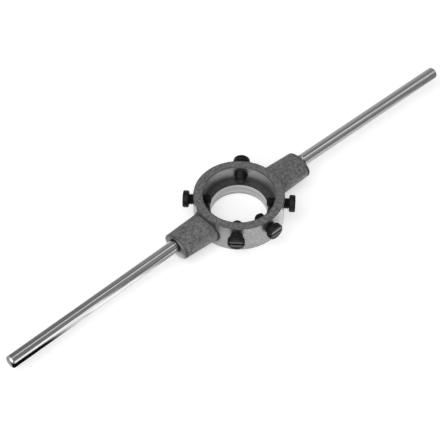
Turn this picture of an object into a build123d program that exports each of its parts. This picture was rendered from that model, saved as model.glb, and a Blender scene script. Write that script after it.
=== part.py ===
from build123d import *
import os
from math import cos, isclose, radians, sin, tan

os.makedirs("parts", exist_ok=True)

# Die stock for round dies: a cast ring with two bosses, a bar screwed into each boss, and
# five slotted set screws that point at the die. Millimetres. The ring stands on z = 0 with
# its axis on Z, and the bars lie along X.

# Round die that the stock takes
die_diameter = 38.0
die_clearance = 0.1

# Ring: the die lies in a pocket, on a seat round the open throat
ring_diameter = 48.0
ring_height = 16.4
seat_height = 6.8
throat_diameter = 30.3
rim_chamfer = 0.2
pocket_chamfer = 0.25
throat_chamfer = 0.2

# Bosses, oval in section and a little wider at the ring
boss_reach = 44.1
boss_end_width = 16.9
boss_end_height = 11.8
boss_end_round = 0.9
boss_root_width = 18.6
boss_root_height = 14.2
boss_root_inset = 3.4
boss_blend = 0.4

# Bars, each turned down to a threaded tenon whose shoulder stands clear of the boss
bar_diameter = 7.0
bar_tip_reach = 150.0
bar_tip_round = 1.5
bar_height = 9.8
shoulder_gap = 1.1
shoulder_chamfer = 0.3
tenon_diameter = 6.0
tenon_length = 15.6
tenon_clearance = 0.04
tenon_chamfer = 0.6

# Socket in each boss
socket_run_out = 1.0
socket_drill_angle = 118.0
mouth_diameter = 8.7
mouth_angle = 90.0

# The left bar stands a little out of line in its socket, forwards and downwards
left_bar_yaw = 0.7
left_bar_droop = 1.3

# Set screws, all alike: before it is driven in, the head stands clear of the ring by the gap
# and the tip stands into the pocket
screw_height = 11.0
head_gap = 2.3
head_diameter = 9.1
head_thickness = 3.3
head_round = 0.8
thread_diameter = 6.0
tip_stand = 4.55
tip_diameter = 3.2
tip_angle = 90.0
tip_round = 0.3
slot_width = 1.2
slot_depth = 1.3

# Tapped holes in the ring's wall, opened a little at both ends
thread_clearance = 0.05
hole_outer_chamfer = 0.5
hole_inner_chamfer = 0.4

# Share by which two radii may differ and still be the same
radius_match = 0.0001

# Where each screw stands round the ring, how far its slot is turned from level, and how far
# it is driven in
screws = {
    "spreading_screw": (-90.0, 0.0, 0.6),
    "closing_screw_left": (-135.0, 0.0, 0.0),
    "closing_screw_right": (-45.0, 20.0, 0.0),
    "holding_screw_left": (135.0, -35.0, 0.0),
    "holding_screw_right": (45.0, 8.0, 0.0),
}

# Which way each bar leaves its boss: its side, its turn in plan and its fall
bars = {
    "handle_bar_right": (1, 0.0, 0.0),
    "handle_bar_left": (-1, left_bar_yaw, left_bar_droop),
}

ring_radius = ring_diameter / 2
pocket_radius = (die_diameter + die_clearance) / 2
throat_radius = throat_diameter / 2
bar_radius = bar_diameter / 2
tenon_radius = tenon_diameter / 2
mouth_radius = mouth_diameter / 2
head_radius = head_diameter / 2
thread_radius = thread_diameter / 2
tip_radius = tip_diameter / 2
mid_height = ring_height / 2


# How far a cone runs along its axis while its radius grows by rise
def cone_length(rise, included_angle):
    return rise / tan(radians(included_angle / 2))


# Plane through a screw's axis: its x runs outwards from the ring's axis, its y runs up
def screw_plane(angle, driven_in=0):
    turn = radians(angle)
    outwards = Vector(cos(turn), sin(turn), 0)
    centre = Vector(0, 0, screw_height) - outwards * driven_in
    return Plane(origin=centre, x_dir=outwards, z_dir=outwards.cross(Vector(0, 0, 1)))


# Plane through a bar's axis: its x runs outwards from the mouth of the socket
def bar_plane(side, yaw, droop):
    turn = radians(yaw)
    fall = radians(droop)
    outwards = Vector(side * cos(turn) * cos(fall), -sin(turn) * cos(fall), -sin(fall))
    mouth = (side * boss_reach, 0, bar_height)
    return Plane(origin=mouth, x_dir=outwards, z_dir=outwards.cross(Vector(0, 0, 1)))


# Line that runs along a plane's own x axis
def axis_of(plane):
    return Axis(plane.origin, plane.x_dir)


# Round edges of one radius
def rims_of(body, radius):
    round_edges = body.edges().filter_by(GeomType.CIRCLE)
    return round_edges.filter_by(lambda edge: isclose(edge.radius, radius, rel_tol=radius_match))


# Turns a half profile about the plane's own x axis
def turned(plane, points, mode=Mode.ADD):
    with BuildSketch(plane) as profile:
        with BuildLine():
            Polyline(*points, close=True)
        make_face()
    revolve(profile.sketch, axis=axis_of(plane), mode=mode)


# Holder body, one casting: ring, bosses, pocket, throat, sockets and tapped holes
boss_root = ring_radius - boss_root_inset
pocket_depth = ring_height - seat_height
socket_radius = tenon_radius + tenon_clearance
socket_depth = tenon_length - shoulder_gap + socket_run_out
socket_point = cone_length(socket_radius, socket_drill_angle)
mouth_depth = cone_length(mouth_radius - socket_radius, mouth_angle)
hole_radius = thread_radius + thread_clearance

socket_profile = [
    (mouth_depth, 0),
    (mouth_depth, 2 * mouth_radius - socket_radius),
    (-mouth_depth, socket_radius),
    (-socket_depth, socket_radius),
    (-socket_depth - socket_point, 0),
]
hole_profile = [
    (pocket_radius - hole_inner_chamfer, 0),
    (pocket_radius - hole_inner_chamfer, hole_radius + 2 * hole_inner_chamfer),
    (pocket_radius + hole_inner_chamfer, hole_radius),
    (ring_radius - hole_outer_chamfer, hole_radius),
    (ring_radius + hole_outer_chamfer, hole_radius + 2 * hole_outer_chamfer),
    (ring_radius + hole_outer_chamfer, 0),
]

with BuildPart() as holder_body:
    Cylinder(
        ring_radius,
        ring_height,
        rotation=(0, 0, -90),
        align=(Align.CENTER, Align.CENTER, Align.MIN),
    )
    ring_rims = holder_body.edges().filter_by(GeomType.CIRCLE)
    chamfer(ring_rims, length=rim_chamfer)
    for side in (-1, 1):
        for reach, width, height in (
            (boss_root, boss_root_width, boss_root_height),
            (boss_reach, boss_end_width, boss_end_height),
        ):
            with BuildSketch(Plane.YZ.offset(side * reach)):
                with Locations((0, mid_height)):
                    Ellipse(width / 2, height / 2)
        loft()
        boss_junction = (
            holder_body.edges()
            .filter_by(GeomType.BSPLINE)
            .filter_by_position(Axis.X, min(0, side * ring_radius), max(0, side * ring_radius))
        )
        fillet(boss_junction, radius=boss_blend)
    end_rims = holder_body.faces().filter_by(Axis.X).edges()
    fillet(end_rims, radius=boss_end_round)
    with Locations((0, 0, ring_height)):
        CounterBoreHole(throat_radius, pocket_radius, pocket_depth)
    pocket_rim = rims_of(holder_body, pocket_radius).sort_by(Axis.Z)[-1]
    chamfer(pocket_rim, length=pocket_chamfer)
    throat_rim = rims_of(holder_body, throat_radius).sort_by(Axis.Z)[0]
    chamfer(throat_rim, length=throat_chamfer)
    for side, yaw, droop in bars.values():
        turned(bar_plane(side, yaw, droop), socket_profile, mode=Mode.SUBTRACT)
    for angle, slot_turn, driven_in in screws.values():
        turned(screw_plane(angle), hole_profile, mode=Mode.SUBTRACT)
holder_body.part.label = "holder_body"
export_step(holder_body.part, "parts/holder_body.step")

# Handle bars, each with a chamfered shoulder and a tenon that screws into its socket
bar_root = shoulder_gap - tenon_length
bar_tip = bar_tip_reach - boss_reach

bar_profile = [
    (bar_root, 0),
    (bar_root, tenon_radius - tenon_chamfer),
    (bar_root + tenon_chamfer, tenon_radius),
    (shoulder_gap, tenon_radius),
    (shoulder_gap, bar_radius - shoulder_chamfer),
    (shoulder_gap + shoulder_chamfer, bar_radius),
    (bar_tip, bar_radius),
    (bar_tip, 0),
]

for name, (side, yaw, droop) in bars.items():
    mouth_plane = bar_plane(side, yaw, droop)
    with BuildPart() as handle_bar:
        turned(mouth_plane, bar_profile)
        rims = handle_bar.edges().filter_by(GeomType.CIRCLE)
        fillet(rims.sort_by(axis_of(mouth_plane))[-1], radius=bar_tip_round)
    handle_bar.part.label = name
    export_step(handle_bar.part, f"parts/{name}.step")

# Set screws, each with a slotted cheese head and a blunt cone at its tip
head_seat = ring_radius + head_gap
head_reach = head_seat + head_thickness
tip_reach = pocket_radius - tip_stand
tip_length = cone_length(thread_radius - tip_radius, tip_angle)

screw_profile = [
    (tip_reach, 0),
    (tip_reach, tip_radius),
    (tip_reach + tip_length, thread_radius),
    (head_seat, thread_radius),
    (head_seat, head_radius),
    (head_reach, head_radius),
    (head_reach, 0),
]

for name, (angle, slot_turn, driven_in) in screws.items():
    axis_plane = screw_plane(angle, driven_in)
    with BuildPart() as set_screw:
        turned(axis_plane, screw_profile)
        fillet(rims_of(set_screw, head_radius), radius=head_round)
        fillet(rims_of(set_screw, tip_radius), radius=tip_round)
        head_face = Plane(
            origin=axis_plane.from_local_coords((head_reach, 0, 0)),
            x_dir=axis_plane.z_dir,
            z_dir=axis_plane.x_dir,
        )
        with BuildSketch(head_face):
            Rectangle(2 * head_diameter, slot_width, rotation=slot_turn)
        extrude(amount=-slot_depth, mode=Mode.SUBTRACT)
    set_screw.part.label = name
    export_step(set_screw.part, f"parts/{name}.step")
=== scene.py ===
from math import atan2, cos, pi, radians, sin, sqrt
from types import SimpleNamespace

import bmesh
import bpy
from mathutils import Matrix, Vector


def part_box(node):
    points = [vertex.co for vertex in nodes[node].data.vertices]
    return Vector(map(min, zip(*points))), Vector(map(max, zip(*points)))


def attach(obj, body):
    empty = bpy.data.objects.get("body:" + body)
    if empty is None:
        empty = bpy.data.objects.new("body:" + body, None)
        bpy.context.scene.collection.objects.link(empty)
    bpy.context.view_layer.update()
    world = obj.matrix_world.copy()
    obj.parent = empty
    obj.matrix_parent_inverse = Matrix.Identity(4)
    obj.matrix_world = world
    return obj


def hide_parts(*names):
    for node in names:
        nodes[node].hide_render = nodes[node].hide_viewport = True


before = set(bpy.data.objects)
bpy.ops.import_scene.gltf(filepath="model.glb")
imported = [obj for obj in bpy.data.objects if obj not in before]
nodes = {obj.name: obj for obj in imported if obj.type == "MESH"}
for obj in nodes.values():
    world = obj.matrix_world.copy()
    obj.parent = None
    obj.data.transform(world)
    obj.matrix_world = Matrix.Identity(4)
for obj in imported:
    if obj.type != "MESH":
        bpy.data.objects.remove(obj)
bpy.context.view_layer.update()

MM = 0.001

# Sizes of the part in millimetres. The materials are laid out by them.
RING_RADIUS = 24.0
RING_HEIGHT = 16.4
POCKET_RADIUS = 19.05
SEAT_HEIGHT = 6.8
THROAT_RADIUS = 15.15
BOSS_MIDDLE = 8.2
BOSS_HALF_WIDTH = 9.3
BOSS_HALF_HEIGHT = 7.1
BOSS_REACH = 44.1
BAR_HEIGHT = 9.8
BAR_TIP_REACH = 150.0


class Graph:
    """A tree of shader nodes. Its methods take numbers or the outputs of other nodes."""

    def __init__(self, tree):
        self.tree = tree
        tree.nodes.clear()

    def node(self, kind):
        return self.tree.nodes.new(kind)

    def feed(self, socket, value):
        if isinstance(value, bpy.types.NodeSocket):
            self.tree.links.new(value, socket)
        else:
            socket.default_value = value

    def calc(self, operation, *values):
        node = self.node("ShaderNodeMath")
        node.operation = operation
        for socket, value in zip(node.inputs, values):
            self.feed(socket, value)
        return node.outputs[0]

    def chain(self, operation, first, *others):
        for other in others:
            first = self.calc(operation, first, other)
        return first

    def add(self, *values):
        return self.chain("ADD", *values)

    def both(self, *masks):
        return self.chain("MULTIPLY", *masks)

    def either(self, *masks):
        return self.chain("MAXIMUM", *masks)

    def outside(self, mask):
        return self.calc("SUBTRACT", 1, mask)

    def minus(self, a, b):
        return self.calc("SUBTRACT", a, b)

    def times(self, a, b):
        return self.calc("MULTIPLY", a, b)

    def size(self, value):
        return self.calc("ABSOLUTE", value)

    def length(self, *parts):
        return self.calc("SQRT", self.add(*[self.times(part, part) for part in parts]))

    def ramp(self, value, low, high, start, end):
        """Goes smoothly from start to end while the value goes from low to high."""
        node = self.node("ShaderNodeMapRange")
        node.interpolation_type = "SMOOTHSTEP"
        self.feed(node.inputs["Value"], value)
        self.feed(node.inputs["From Min"], low)
        self.feed(node.inputs["From Max"], high)
        self.feed(node.inputs["To Min"], start)
        self.feed(node.inputs["To Max"], end)
        return node.outputs["Result"]

    def rise(self, value, low, high):
        return self.ramp(value, low, high, 0, 1)

    def fall(self, value, low, high):
        return self.ramp(value, low, high, 1, 0)

    def sway(self, texture, low, high, spread=0.15):
        """Goes from low to high as a texture swings about its middle."""
        return self.ramp(texture, 0.5 - spread, 0.5 + spread, low, high)

    def slide(self, factor, a, b):
        node = self.node("ShaderNodeMix")
        node.data_type = "FLOAT"
        self.feed(node.inputs[0], factor)
        self.feed(node.inputs[2], a)
        self.feed(node.inputs[3], b)
        return node.outputs[0]

    def mix_shaders(self, factor, a, b):
        node = self.node("ShaderNodeMixShader")
        for socket, value in zip(node.inputs, (factor, a, b)):
            self.feed(socket, value)
        return node.outputs[0]

    def shade(self, value):
        node = self.node("ShaderNodeCombineColor")
        for socket in node.inputs:
            self.feed(socket, value)
        return node.outputs[0]

    def split(self, vector):
        node = self.node("ShaderNodeSeparateXYZ")
        self.feed(node.inputs[0], vector)
        return node.outputs

    def point(self):
        """Place on the object, in millimetres."""
        scaled = self.node("ShaderNodeVectorMath")
        scaled.operation = "SCALE"
        self.feed(scaled.inputs[0], self.node("ShaderNodeTexCoord").outputs["Object"])
        self.feed(scaled.inputs["Scale"], 1 / MM)
        return scaled.outputs["Vector"]

    def noise(self, vector, scale, detail, roughness, stretch=None, turn=0.0):
        if stretch:
            mapping = self.node("ShaderNodeMapping")
            self.feed(mapping.inputs["Vector"], vector)
            self.feed(mapping.inputs["Scale"], stretch)
            self.feed(mapping.inputs["Rotation"], (0, 0, turn))
            vector = mapping.outputs["Vector"]
        node = self.node("ShaderNodeTexNoise")
        self.feed(node.inputs["Vector"], vector)
        self.feed(node.inputs["Scale"], scale)
        self.feed(node.inputs["Detail"], detail)
        self.feed(node.inputs["Roughness"], roughness)
        return node.outputs["Fac"]

    def bump(self, height, distance, strength):
        node = self.node("ShaderNodeBump")
        self.feed(node.inputs["Strength"], strength)
        self.feed(node.inputs["Distance"], distance)
        self.feed(node.inputs["Height"], height)
        return node.outputs["Normal"]


def new_material(name):
    """An empty material, its graph and its output's socket for the surface."""
    material = bpy.data.materials.new(name)
    material.use_nodes = True
    graph = Graph(material.node_tree)
    return material, graph, graph.node("ShaderNodeOutputMaterial").inputs["Surface"]


def new_principled(name):
    """A material with one shader, its graph and the shader's sockets."""
    material, graph, surface = new_material(name)
    shader = graph.node("ShaderNodeBsdfPrincipled")
    graph.feed(surface, shader.outputs["BSDF"])
    return material, graph, shader.inputs


# Casting: dark blasted skin, machined where it was turned or faced

# Tones run from 0 for black to 1 for white
SKIN_TONE = 0.143
WALL_TONE = 0.36
POCKET_TONE = 0.33
SEAT_TONE = 0.06
THROAT_TONE = 0.42
# Painted shade in the crevice at each boss's root
CREVICE_PAINTED_SHADE = 0.042
# Painted shade along the edge round each boss's end
END_EDGE_PAINTED_SHADE = 0.05
# Painted shade in the screw holes and the bars' sockets
DEEP_PAINTED_SHADE = 0.02
# Painted shade along the ring's rims
RIM_PAINTED_SHADE = -0.3
# Painted light on the bosses' flanks
FLANK_PAINTED_LIGHT = 0.62
# Painted light at the right of the ring's front wall
RIGHT_FRONT_PAINTED_LIGHT = 0.8
SKIN_METALLIC = 0.2
WORKED_METALLIC = 0.95
END_ROUGHNESS = 0.42


def casting_masks(graph, x, y, z):
    """Where each kind of surface lies on the casting."""
    geometry = graph.node("ShaderNodeNewGeometry")
    facing = graph.split(geometry.outputs["Normal"])
    nx, nz = facing["X"], facing["Z"]
    radius = graph.length(x, y)
    across = graph.size(x)
    upright = graph.fall(graph.size(nz), 0.35, 0.5)

    # Machined faces of the ring
    in_ring = graph.fall(radius, POCKET_RADIUS + 0.15, POCKET_RADIUS + 0.35)
    over_seat = graph.rise(z, SEAT_HEIGHT + 0.1, SEAT_HEIGHT + 0.3)
    under_seat = graph.outside(over_seat)
    in_throat = graph.fall(radius, THROAT_RADIUS + 0.65, THROAT_RADIUS + 0.75)

    # At a boss: within its outline as seen along the bars, or above it
    off_boss = graph.length(
        graph.calc("DIVIDE", y, BOSS_HALF_WIDTH),
        graph.calc("DIVIDE", graph.minus(z, BOSS_MIDDLE), BOSS_HALF_HEIGHT),
    )
    over_boss = graph.both(graph.fall(graph.size(y), 6.5, 8.5), graph.rise(z, 9.0, 10.0))
    by_boss = graph.either(graph.fall(off_boss, 1.02, 1.1), over_boss)

    # The right end is faced inside its rounded edge, and the left end over that edge too, so the
    # left end's painted reflection covers that edge
    end_left = graph.fall(x, 1.15 - BOSS_REACH, 1.35 - BOSS_REACH)
    end_right = graph.both(
        graph.rise(x, BOSS_REACH - 0.8, BOSS_REACH - 0.5),
        graph.rise(nx, 0.8, 0.93),
    )
    end = graph.either(end_right, end_left)

    # Painted shade in the crevice at a boss's root, narrower on top
    from_root = graph.add(radius, graph.ramp(z, 8.5, 11.5, 0, 0.4))
    off_bar = graph.length(y, graph.minus(z, BAR_HEIGHT))
    # Painted shade along the ring's outer and inner rims
    shaded_rims = graph.either(
        graph.rise(radius, RING_RADIUS - 0.7, RING_RADIUS - 0.25),
        graph.fall(radius, POCKET_RADIUS + 0.45, POCKET_RADIUS + 0.85),
    )

    return SimpleNamespace(
        wall=graph.both(
            upright,
            graph.rise(radius, RING_RADIUS - 0.6, RING_RADIUS - 0.4),
            graph.fall(radius, RING_RADIUS, RING_RADIUS + 0.06),
            graph.outside(by_boss),
        ),
        pocket=graph.both(upright, in_ring, over_seat),
        seat=graph.both(in_ring, graph.rise(nz, 0.6, 0.8), under_seat),
        throat=graph.both(in_throat, under_seat, upright),
        end=end,
        # Painted shade along the edge round a boss's end, weaker towards the top
        end_edge_painted_shade=graph.both(
            graph.rise(across, BOSS_REACH - 2.0, BOSS_REACH - 1.7),
            graph.outside(end),
            graph.ramp(z, 10.0, 13.0, 1, 0.4),
        ),
        # Painted shade in the crevice at the boss's root
        crevice_painted_shade=graph.both(
            by_boss,
            graph.rise(radius, RING_RADIUS - 0.15, RING_RADIUS),
            graph.fall(from_root, RING_RADIUS + 0.75, RING_RADIUS + 1.3),
        ),
        # Painted shade inside the screw holes
        hole_painted_shade=graph.both(
            graph.outside(in_ring),
            graph.fall(radius, RING_RADIUS - 0.3, RING_RADIUS - 0.15),
            graph.fall(z, RING_HEIGHT - 0.6, RING_HEIGHT - 0.4),
            graph.rise(z, 0.5, 0.6),
        ),
        # Painted shade inside the bars' sockets
        socket=graph.both(
            graph.fall(off_bar, 3.9, 4.1),
            graph.rise(across, RING_RADIUS + 0.5, RING_RADIUS + 1.0),
        ),
        # Painted shade along the rims
        rim_painted_shade=graph.both(shaded_rims, graph.fall(radius, RING_RADIUS, RING_RADIUS + 0.1)),
        # Painted light on the bosses' flanks, facing sideways and down
        painted_light_flanks=graph.both(
            graph.fall(nz, 0.0, 0.75),
            graph.rise(nz, -0.9, -0.5),
            graph.rise(radius, RING_RADIUS + 0.2, RING_RADIUS + 1.5),
        ),
        # Painted light at the right of the ring's front
        painted_light_right_front=graph.both(graph.rise(x, 2, 12), graph.fall(y, -12, -4)),
    )


def casting_marks(graph, point):
    """Textures of the skin, and of the fine rings that turning leaves round the axis."""
    return SimpleNamespace(
        mottle=graph.noise(point, scale=0.55, detail=4.0, roughness=0.7),
        fine=graph.noise(point, scale=1.9, detail=3.0, roughness=0.6),
        speck=graph.noise(point, scale=4.5, detail=2.0, roughness=0.6),
        seat=graph.noise(point, scale=0.8, detail=3.0, roughness=0.6),
        rings=graph.noise(
            point, scale=1.0, detail=4.0, roughness=0.7, stretch=(0.05, 0.05, 6.0)
        ),
        wide_rings=graph.noise(
            point, scale=1.0, detail=2.0, roughness=0.6, stretch=(0.02, 0.02, 1.6)
        ),
    )


def skin_tone(graph, on, marks):
    """Mottled, with painted shade along the ring's rims and painted light on the bosses' flanks.
    """
    tone = graph.add(
        graph.sway(marks.mottle, -0.05, 0.05, 0.14),
        SKIN_TONE,
        graph.sway(marks.fine, -0.04, 0.045),
        graph.sway(marks.speck, -0.03, 0.035),
    )
    # Painted shade along the rims
    tone = graph.times(tone, graph.calc("MULTIPLY_ADD", on.rim_painted_shade, RIM_PAINTED_SHADE, 1))
    # Painted light on the bosses' flanks
    return graph.times(tone, graph.calc("MULTIPLY_ADD", on.painted_light_flanks, FLANK_PAINTED_LIGHT, 1))


def wall_tone(graph, on, marks):
    """Turned but grainy, with painted light at the right of the ring's front."""
    tone = graph.add(
        graph.sway(marks.rings, -0.05, 0.05, 0.2),
        WALL_TONE,
        graph.sway(marks.fine, -0.09, 0.09),
        graph.sway(marks.speck, -0.06, 0.06),
    )
    # Painted light at the right of the ring's front
    return graph.times(tone, graph.calc("MULTIPLY_ADD", on.painted_light_right_front, RIGHT_FRONT_PAINTED_LIGHT, 1))


def throat_tone(graph, marks):
    return graph.add(
        graph.sway(marks.rings, -0.12, 0.12, 0.2),
        THROAT_TONE,
        graph.sway(marks.wide_rings, -0.1, 0.1, 0.1),
    )


def end_painted_reflection(graph, marks, z):
    """Faced, with a painted reflection: lighter low down and darker towards the top."""
    return graph.add(graph.sway(marks.fine, -0.04, 0.04, 0.2), graph.ramp(z, 4.0, 10.0, 0.5, 0.15))


def casting_tone(graph, on, marks, z):
    """The skin, with every other kind of surface, the painted shade and the painted reflection
    laid over it.
    """
    tone = skin_tone(graph, on, marks)
    for mask, layer in (
        (on.wall, wall_tone(graph, on, marks)),
        (on.pocket, graph.add(graph.sway(marks.rings, -0.08, 0.08, 0.2), POCKET_TONE)),
        (on.seat, graph.add(graph.sway(marks.seat, -0.02, 0.02, 0.2), SEAT_TONE)),
        (on.throat, throat_tone(graph, marks)),
        # Painted shade in the crevices, along the end edges and in the holes and sockets; the
        # faced ends carry a painted reflection
        (on.crevice_painted_shade, CREVICE_PAINTED_SHADE),
        (on.end_edge_painted_shade, END_EDGE_PAINTED_SHADE),
        (on.end, end_painted_reflection(graph, marks, z)),
        (on.hole_painted_shade, DEEP_PAINTED_SHADE),
        (on.socket, DEEP_PAINTED_SHADE),
    ):
        tone = graph.slide(mask, tone, layer)
    return tone


def casting_material():
    material, graph, shader = new_principled("casting")
    point = graph.point()
    x, y, z = graph.split(point)
    on = casting_masks(graph, x, y, z)
    marks = casting_marks(graph, point)
    turned = graph.either(on.wall, on.pocket, on.throat)
    worked = graph.either(turned, on.end)
    rough = graph.slide(
        turned,
        graph.sway(marks.fine, 0.5, 0.66, 0.2),
        graph.sway(marks.rings, 0.3, 0.42, 0.2),
    )
    grain = graph.add(graph.times(marks.fine, 0.7), graph.times(marks.speck, 0.3))
    relief = graph.slide(worked, grain, graph.times(marks.rings, 0.12))
    graph.feed(shader["Base Color"], graph.shade(casting_tone(graph, on, marks, z)))
    graph.feed(shader["Metallic"], graph.slide(worked, SKIN_METALLIC, WORKED_METALLIC))
    graph.feed(shader["Roughness"], graph.slide(on.end, rough, END_ROUGHNESS))
    graph.feed(shader["Normal"], graph.bump(relief, distance=0.12 * MM, strength=0.8))
    return material


# Bars: bright drawn steel, polished along the length, and plainer on the tenon and shoulder, where
# they are darker, partly their own finish and partly painted shade at the boss

BAR_TONE = 0.61
# Darker on the tenon and shoulder: partly their own finish, partly painted shade where the bar
# enters the boss
NECK_FINISH_AND_SHADE_TONE = 0.5
NECK_ROUGHNESS = 0.25
NECK_END = BOSS_REACH + 1.4


def bar_material(name, yaw):
    material, graph, shader = new_principled(name)
    point = graph.point()
    across = graph.size(graph.split(point)["X"])
    lines = graph.noise(
        point, scale=1.0, detail=3.0, roughness=0.6, stretch=(0.012, 3.2, 3.2), turn=yaw
    )
    fine = graph.noise(
        point, scale=1.0, detail=2.0, roughness=0.5, stretch=(0.03, 11.0, 11.0), turn=yaw
    )
    handled = graph.noise(point, scale=0.09, detail=3.0, roughness=0.5)
    neck = graph.fall(across, NECK_END, NECK_END + 0.15)
    tone = graph.add(
        graph.sway(lines, -0.05, 0.05, 0.18),
        BAR_TONE,
        graph.sway(fine, -0.03, 0.03, 0.2),
    )
    rough = graph.add(graph.sway(handled, 0.08, 0.12), graph.sway(lines, 0.0, 0.04, 0.2))
    relief = graph.add(graph.times(lines, 0.7), graph.times(fine, 0.3))
    graph.feed(shader["Base Color"], graph.shade(graph.slide(neck, tone, NECK_FINISH_AND_SHADE_TONE)))
    graph.feed(shader["Metallic"], 1.0)
    graph.feed(shader["Roughness"], graph.slide(neck, rough, NECK_ROUGHNESS))
    graph.feed(shader["Normal"], graph.bump(relief, distance=0.03 * MM, strength=0.5))
    return material


# Screws: black oxide, lighter beside the slot as wear with a painted glint

OXIDE_TONE = 0.009
# Painted sheen on the flat of each head's face
FACE_PAINTED_SHEEN = 0.012
# Wear with a painted glint beside the slot, which reaches further above the spreading screw's slot
WEAR_AND_GLINT_LIGHTER = 0.1
MOST_WEAR_AND_GLINT_LIGHTER = 0.15
GLINT_ABOVE_SLOT_LIGHTER = 0.1
GLINT_ABOVE_SLOT_WIDER = 0.7
SCREW_SPECULAR = 0.16


def screw_material():
    material, graph, shader = new_principled("screw_steel")
    point = graph.point()
    across = graph.size(graph.split(point)["X"])
    own_place = graph.node("ShaderNodeAttribute")
    own_place.attribute_name = "own_place"
    off_face, along, aside = graph.split(own_place.outputs["Vector"])
    on_face = graph.rise(off_face, -0.15, -0.05)
    over_slot = graph.rise(aside, -0.3, 0.3)
    along = graph.size(along)
    aside = graph.size(aside)

    fine = graph.noise(point, scale=2.2, detail=3.0, roughness=0.6)
    wide = graph.noise(point, scale=0.5, detail=2.0, roughness=0.5)

    # The spreading screw, the one at x = 0, gets the most wear and painted glint, reaching further
    # above its slot
    spreading = graph.fall(across, 6, 8)
    glint_wider = graph.both(over_slot, spreading, GLINT_ABOVE_SLOT_WIDER)
    # Wear with a painted glint beside the slot
    wear_and_glint = graph.both(
        on_face,
        graph.rise(aside, 0.6, 0.75),
        graph.fall(graph.minus(aside, glint_wider), 1.2, 2.2),
        graph.fall(along, 2.6, 3.9),
    )
    most_wear_and_glint = graph.calc("MULTIPLY_ADD", over_slot, GLINT_ABOVE_SLOT_LIGHTER, MOST_WEAR_AND_GLINT_LIGHTER)
    wear_and_glint = graph.times(wear_and_glint, graph.slide(spreading, WEAR_AND_GLINT_LIGHTER, most_wear_and_glint))

    # Painted sheen on the flat middle of the face
    flat = graph.both(on_face, graph.fall(graph.length(aside, along), 3.0, 3.9))
    tone = graph.add(
        graph.sway(fine, -0.003, 0.004, 0.2),
        OXIDE_TONE,
        graph.ramp(wide, 0.5, 0.75, 0.0, 0.006),
        wear_and_glint,
        graph.times(flat, FACE_PAINTED_SHEEN),
    )
    graph.feed(shader["Base Color"], graph.shade(tone))
    graph.feed(shader["Metallic"], 0.0)
    graph.feed(shader["Specular IOR Level"], SCREW_SPECULAR)
    graph.feed(shader["Roughness"], graph.sway(fine, 0.3, 0.42, 0.2))
    graph.feed(shader["Normal"], graph.bump(fine, distance=0.04 * MM, strength=0.4))
    return material


# How far each bar is turned in plan, which its drawn lines follow
BAR_YAWS = {"handle_bar_left": radians(-0.7), "handle_bar_right": 0.0}


def dress(node, material):
    node.data.materials.clear()
    node.data.materials.append(material)


dress(nodes["holder_body"], casting_material())
for name, yaw in BAR_YAWS.items():
    dress(nodes[name], bar_material(name, yaw))
screw_steel = screw_material()


# Set screws with a cut thread and a softened slot, in place of the plain ones

PITCH = 1.0 * MM
THREAD_RADIUS = 3.0 * MM
THREAD_DEPTH = 0.5 * MM
CREST_SHARE = 0.12
FLANK_SHARE = 0.72
TURN_STEPS = 40
PITCH_STEPS = 8
TIP_RADIUS = 1.6 * MM
TIP_ROUND = 0.3 * MM
SHANK_OVERLAP = 0.3 * MM
HEAD_THICKNESS = 3.3 * MM
HEAD_ROUND = 0.8 * MM
HEAD_STEPS = 72
ROUND_STEPS = 6
SLOT_WIDTH = 1.2 * MM
SLOT_DEPTH = 1.3 * MM
SLOT_SOFTENED = 0.12 * MM
SOFTENED_OVER = radians(50)
SHARP_OVER = radians(38)
SLIVER = 0.001 * MM

# How far each slot is turned from level
SLOT_TURNS = {
    "spreading_screw": 0.0,
    "closing_screw_left": 0.0,
    "closing_screw_right": radians(20),
    "holding_screw_left": radians(-35),
    "holding_screw_right": radians(8),
}


def thread_cut(turns):
    """Depth of the thread's groove, from 0 on the crest to 1 at the root."""
    off_middle = abs(turns % 1.0 - 0.5) * 2
    return min(1.0, max(0.0, (1 - off_middle - CREST_SHARE) / FLANK_SHARE))


def ring_points(x, radius_at, steps):
    points = []
    for i in range(steps):
        turn = 2 * pi * i / steps
        r = radius_at(turn)
        points.append((x, r * cos(turn), r * sin(turn)))
    return points


def add_rings(bm, rings):
    """A closed skin over rings of points, with a flat face at either end."""
    rows = [[bm.verts.new(p) for p in ring] for ring in rings]
    count = len(rows[0])
    for lower, upper in zip(rows, rows[1:]):
        for i in range(count):
            j = (i + 1) % count
            bm.faces.new((lower[i], lower[j], upper[j], upper[i]))
    bm.faces.new(list(reversed(rows[0])))
    bm.faces.new(rows[-1])


def add_shank(bm, tip, seat):
    step = PITCH / PITCH_STEPS
    count = int((seat + SHANK_OVERLAP - tip) / step) + 1
    rings = []
    for k in range(count + 1):
        x = tip + k * step
        past = x - tip
        curl = max(0.0, TIP_ROUND - past)
        cone = TIP_RADIUS + past - TIP_ROUND + sqrt(TIP_ROUND ** 2 - curl ** 2)

        def radius_at(turn):
            cut = thread_cut(x / PITCH - turn / (2 * pi)) * THREAD_DEPTH
            return min(THREAD_RADIUS - cut, cone)

        rings.append(ring_points(x, radius_at, TURN_STEPS))
    add_rings(bm, rings)


def add_head(bm, seat, reach, head_radius):
    quarter = [radians(90) * k / ROUND_STEPS for k in range(ROUND_STEPS + 1)]
    under = [
        (seat + HEAD_ROUND * (1 - cos(a)), head_radius - HEAD_ROUND * (1 - sin(a)))
        for a in quarter
    ]
    over = [
        (reach - HEAD_ROUND * (1 - sin(a)), head_radius - HEAD_ROUND * (1 - cos(a)))
        for a in quarter
    ]
    add_rings(bm, [ring_points(x, lambda turn, r=r: r, HEAD_STEPS) for x, r in under + over])


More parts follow.
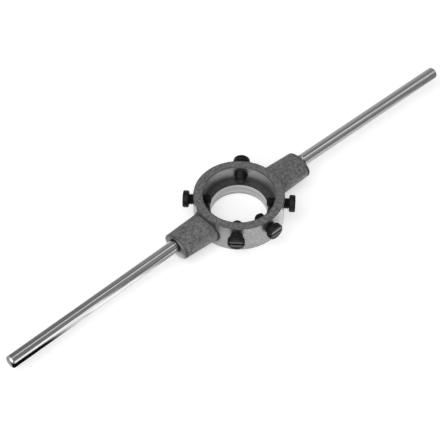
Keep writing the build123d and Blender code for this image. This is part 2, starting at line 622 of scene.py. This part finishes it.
def mesh_object(name, bm):
    mesh = bpy.data.meshes.new(name)
    bmesh.ops.recalc_face_normals(bm, faces=bm.faces)
    bm.to_mesh(mesh)
    bm.free()
    item = bpy.data.objects.new(name, mesh)
    bpy.context.scene.collection.objects.link(item)
    return item


def add_boolean(item, operation, tool):
    boolean = item.modifiers.new(tool.name, "BOOLEAN")
    boolean.operation = operation
    boolean.solver = "EXACT"
    boolean.object = tool


def apply_modifiers(item):
    bpy.context.view_layer.update()
    evaluated = item.evaluated_get(bpy.context.evaluated_depsgraph_get())
    mesh = bpy.data.meshes.new_from_object(evaluated)
    item.modifiers.clear()
    old = item.data
    item.data = mesh
    bpy.data.meshes.remove(old)


def remove_slivers(item):
    bm = bmesh.new()
    bm.from_mesh(item.data)
    bmesh.ops.remove_doubles(bm, verts=bm.verts, dist=SLIVER)
    bmesh.ops.dissolve_degenerate(bm, edges=bm.edges, dist=SLIVER)
    bm.to_mesh(item.data)
    bm.free()


def slotted_head(name, seat, reach, head_radius, slot_turn):
    bm = bmesh.new()
    add_head(bm, seat, reach, head_radius)
    head = mesh_object(name, bm)
    bm = bmesh.new()
    bmesh.ops.create_cube(bm, size=1.0)
    cutter = mesh_object(name + "_slot", bm)
    cutter.data.transform(
        Matrix.Translation((reach, 0, 0))
        @ Matrix.Rotation(slot_turn, 4, "X")
        @ Matrix.Diagonal((2 * SLOT_DEPTH, 3 * head_radius, SLOT_WIDTH, 1))
    )
    add_boolean(head, "DIFFERENCE", cutter)
    soften = head.modifiers.new("soften", "BEVEL")
    soften.width = SLOT_SOFTENED
    soften.segments = 2
    soften.limit_method = "ANGLE"
    soften.angle_limit = SOFTENED_OVER
    apply_modifiers(head)
    bpy.data.objects.remove(cutter)
    return head


def make_screw(name, slot_turn):
    """Builds a screw along X, with its place and size taken from the plain one."""
    low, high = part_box(name)
    centre = (low + high) / 2
    angle = atan2(centre.y, centre.x)
    along = Vector((cos(angle), sin(angle), 0))
    reaches = [vertex.co.dot(along) for vertex in nodes[name].data.vertices]
    tip, reach = min(reaches), max(reaches)
    seat = reach - HEAD_THICKNESS
    head_radius = (high.z - low.z) / 2

    screw = slotted_head(name + "_threaded", seat, reach, head_radius, slot_turn)
    bm = bmesh.new()
    add_shank(bm, tip, seat)
    shank = mesh_object(name + "_shank", bm)
    add_boolean(screw, "UNION", shank)
    apply_modifiers(screw)
    bpy.data.objects.remove(shank)
    remove_slivers(screw)

    # Each point's place from the middle of the slot, in millimetres: out, along and across it
    own_place = screw.data.attributes.new("own_place", "FLOAT_VECTOR", "POINT")
    to_slot = (
        Matrix.Scale(1 / MM, 4)
        @ Matrix.Rotation(-slot_turn, 4, "X")
        @ Matrix.Translation((-reach, 0, 0))
    )
    for vertex, spot in zip(screw.data.vertices, own_place.data):
        spot.vector = to_slot @ vertex.co
    screw.data.transform(Matrix.Translation((0, 0, centre.z)) @ Matrix.Rotation(angle, 4, "Z"))
    for face in screw.data.polygons:
        face.use_smooth = True
    screw.data.set_sharp_from_angle(angle=SHARP_OVER)
    screw.data.materials.append(screw_steel)
    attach(screw, name)
    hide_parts(name)


for name, slot_turn in SLOT_TURNS.items():
    make_screw(name, slot_turn)


# Floor: white to the camera and in reflections but for the shadow, and pale to other rays

FLOOR_SIZE = 8.0
FLOOR_DROP = 0.02 * MM
FLOOR_COLOUR = (0.65, 0.65, 0.65, 1)
FLOOR_GLOW = 0.53
WHITE = (1, 1, 1, 1)


def floor_material():
    material, graph, surface = new_material("floor")
    plain = graph.node("ShaderNodeBsdfDiffuse")
    graph.feed(plain.inputs["Color"], FLOOR_COLOUR)
    glow = graph.node("ShaderNodeEmission")
    graph.feed(glow.inputs["Color"], WHITE)
    graph.feed(glow.inputs["Strength"], FLOOR_GLOW)
    seen = graph.node("ShaderNodeAddShader")
    graph.feed(seen.inputs[0], plain.outputs[0])
    graph.feed(seen.inputs[1], glow.outputs[0])
    rays = graph.node("ShaderNodeLightPath").outputs
    looking = graph.either(
        rays["Is Camera Ray"], rays["Is Glossy Ray"], rays["Is Transmission Ray"]
    )
    graph.feed(surface, graph.mix_shaders(looking, plain.outputs[0], seen.outputs[0]))
    return material


bm = bmesh.new()
bmesh.ops.create_grid(bm, x_segments=1, y_segments=1, size=FLOOR_SIZE / 2)
floor = mesh_object("floor", bm)
floor.location = (0, 0, -FLOOR_DROP)
floor.data.materials.append(floor_material())


# A sheet that only reflections show, with painted reflections of the parts of the studio that are
# out of the picture

SHEET_CORNERS = ((-0.5, 0.15), (0.6, 0.15), (0.6, -0.5), (-0.5, -0.5))
SHEET_HEIGHT = 0.2 * MM
# The painted glow, and the tones of the painted dark and grey reflections
PAINTED_GLOW = 1.5
LEFT_TONE = 0.008
RIGHT_TONE = 0.33


def reflection_sheet_material():
    """Painted reflections: dark by the left tip and by the left boss, a painted glow between, and
    grey to the right.
    """
    material, graph, shader = new_principled("painted_reflection_sheet")
    place = graph.split(graph.point())
    x = place["X"]
    forwards = graph.times(place["Y"], -1)
    in_front = graph.rise(forwards, 3, 9)

    # The painted dark by the left tip spreads as it comes forwards
    spread = graph.times(graph.either(graph.minus(forwards, 60), 0), 0.2)
    by_left_tip = graph.both(
        graph.rise(graph.minus(spread, x), 104, 126),
        graph.rise(forwards, 1.2, 1.8),
    )
    past_left_tip = graph.both(
        graph.ramp(x, -2.5 - BAR_TIP_REACH, -0.5 - BAR_TIP_REACH, 0.62, 0),
        graph.fall(forwards, 1.2, 1.8),
    )
    by_left_boss = graph.both(
        graph.ramp(x, -60, -48, 0, 0.6),
        graph.fall(x, -38, -30),
        in_front,
    )
    to_right = graph.both(
        graph.either(
            graph.ramp(x, 40, 60, 0, 0.42),
            graph.rise(graph.calc("MULTIPLY_ADD", forwards, 0.5, x), 115, 170),
        ),
        in_front,
    )
    # Painted glow in front of the left bar
    painted_glow = graph.both(
        graph.rise(x, -106, -94),
        graph.fall(x, -64, -58),
        graph.rise(forwards, 4, 9),
    )
    covered = graph.either(by_left_tip, past_left_tip, by_left_boss, to_right, painted_glow)
    tone = graph.ramp(x, -10, 10, LEFT_TONE, RIGHT_TONE)
    graph.feed(shader["Alpha"], covered)
    graph.feed(shader["Emission Color"], WHITE)
    graph.feed(shader["Emission Strength"], graph.times(painted_glow, PAINTED_GLOW))
    graph.feed(shader["Base Color"], graph.shade(tone))
    graph.feed(shader["Specular IOR Level"], 0.0)
    graph.feed(shader["Roughness"], 1.0)
    return material


# The sheet of painted reflections, seen only in reflections
bm = bmesh.new()
bm.faces.new([bm.verts.new((x, y, SHEET_HEIGHT)) for x, y in SHEET_CORNERS])
reflection_sheet = mesh_object("painted_reflection_sheet", bm)
reflection_sheet.data.materials.append(reflection_sheet_material())
reflection_sheet.visible_camera = False
reflection_sheet.visible_diffuse = False
reflection_sheet.visible_shadow = False


# Room: white to the camera, and grey to other rays

# Level of the grey by height, in degrees from the back horizon over the top to the front one
ROOM_LEVELS = (
    (0, 0.50),
    (50, 0.50),
    (62, 0.27),
    (90, 0.29),
    (110, 0.36),
    (148, 0.34),
    (160, 0.23),
    (180, 0.22),
)


def make_room():
    world = bpy.data.worlds.new("room")
    bpy.context.scene.world = world
    world.use_nodes = True
    graph = Graph(world.node_tree)
    output = graph.node("ShaderNodeOutputWorld")
    direction = graph.node("ShaderNodeTexCoord")
    x, y, z = graph.split(direction.outputs["Generated"])
    height = graph.calc("DIVIDE", graph.calc("ARCTAN2", z, y), pi)
    levels = graph.node("ShaderNodeValToRGB")
    levels.color_ramp.interpolation = "EASE"
    stops = levels.color_ramp.elements
    while len(stops) < len(ROOM_LEVELS):
        stops.new(0.5)
    for stop, (angle, level) in zip(stops, ROOM_LEVELS):
        stop.position = angle / 180
        stop.color = (level, level, level, 1)
    graph.feed(levels.inputs["Fac"], height)

    # The room is dimmer towards the side that the left bar shows
    dim_side = graph.both(graph.rise(x, 0.0, 0.15), graph.fall(x, 0.24, 0.44))
    dimming = graph.times(dim_side, graph.ramp(height, 0.28, 0.33, 0.6, 0.35))
    room = graph.node("ShaderNodeBackground")
    graph.feed(room.inputs["Color"], levels.outputs["Color"])
    graph.feed(room.inputs["Strength"], graph.outside(dimming))
    white = graph.node("ShaderNodeBackground")
    graph.feed(white.inputs["Color"], WHITE)
    graph.feed(white.inputs["Strength"], 1.0)
    looking = graph.node("ShaderNodeLightPath").outputs["Is Camera Ray"]
    seen = graph.mix_shaders(looking, room.outputs[0], white.outputs[0])
    graph.feed(output.inputs["Surface"], seen)


make_room()


# Lamps

def soft_light(name, at, width, depth, radiance, aim=None, turn=0.0):
    """A lamp that faces its aim, or straight down where it has none, turned in plan."""
    lamp = bpy.data.lights.new(name, "AREA")
    lamp.shape = "RECTANGLE"
    lamp.size = width
    lamp.size_y = depth
    lamp.energy = radiance * pi * width * depth
    item = bpy.data.objects.new(name, lamp)
    bpy.context.scene.collection.objects.link(item)
    item.location = at
    if aim:
        item.rotation_euler = (Vector(aim) - Vector(at)).to_track_quat("-Z", "Y").to_euler()
    else:
        item.rotation_euler = (0, 0, turn)
    item.visible_camera = False


# A strip overhead draws the line along each bar
soft_light(
    "strip", at=(0.3, -0.146, 0.6), width=1.4, depth=0.13, radiance=0.78, turn=radians(-34)
)

# A large lamp from the left lights the whole object
soft_light("key", at=(-1.0, -0.35, 1.2), width=2.0, depth=2.0, radiance=1.82, aim=(0, 0, 0))

# A card low in front draws the light band along the left bar's outer half
soft_light(
    "card", at=(-0.032, -0.3, 0.085), width=0.1, depth=0.17, radiance=1.25, aim=(-0.032, 0, 0.085)
)


# Camera, fitted to the photo: the target is the point of the part that lies at TARGET_PX

AZIMUTH = radians(-41.56)
ELEVATION = radians(49.45)
DISTANCE = 0.7286
FOCAL_PX = 1381.6
FRAME_PX = 440
TARGET = Vector((0, 0, 0.00822))
TARGET_PX = (238.94, 204.67)
SENSOR_WIDTH = 36

right = Vector((cos(AZIMUTH), sin(AZIMUTH), 0))
back = Vector((sin(AZIMUTH) * cos(ELEVATION), -cos(AZIMUTH) * cos(ELEVATION), sin(ELEVATION)))
up = back.cross(right)
offset_x = (TARGET_PX[0] - FRAME_PX / 2) / FOCAL_PX * DISTANCE
offset_y = -(TARGET_PX[1] - FRAME_PX / 2) / FOCAL_PX * DISTANCE
eye = TARGET - right * offset_x - up * offset_y + back * DISTANCE
lens = bpy.data.cameras.new("camera")
lens.sensor_width = SENSOR_WIDTH
lens.lens = FOCAL_PX * SENSOR_WIDTH / FRAME_PX
lens.clip_start = 0.01
lens.clip_end = 50
camera = bpy.data.objects.new("camera", lens)
bpy.context.scene.collection.objects.link(camera)
camera.matrix_world = Matrix.Translation(eye) @ Matrix((right, up, back)).transposed().to_4x4()
bpy.context.scene.camera = camera

bpy.context.scene.view_settings.view_transform = "Standard"
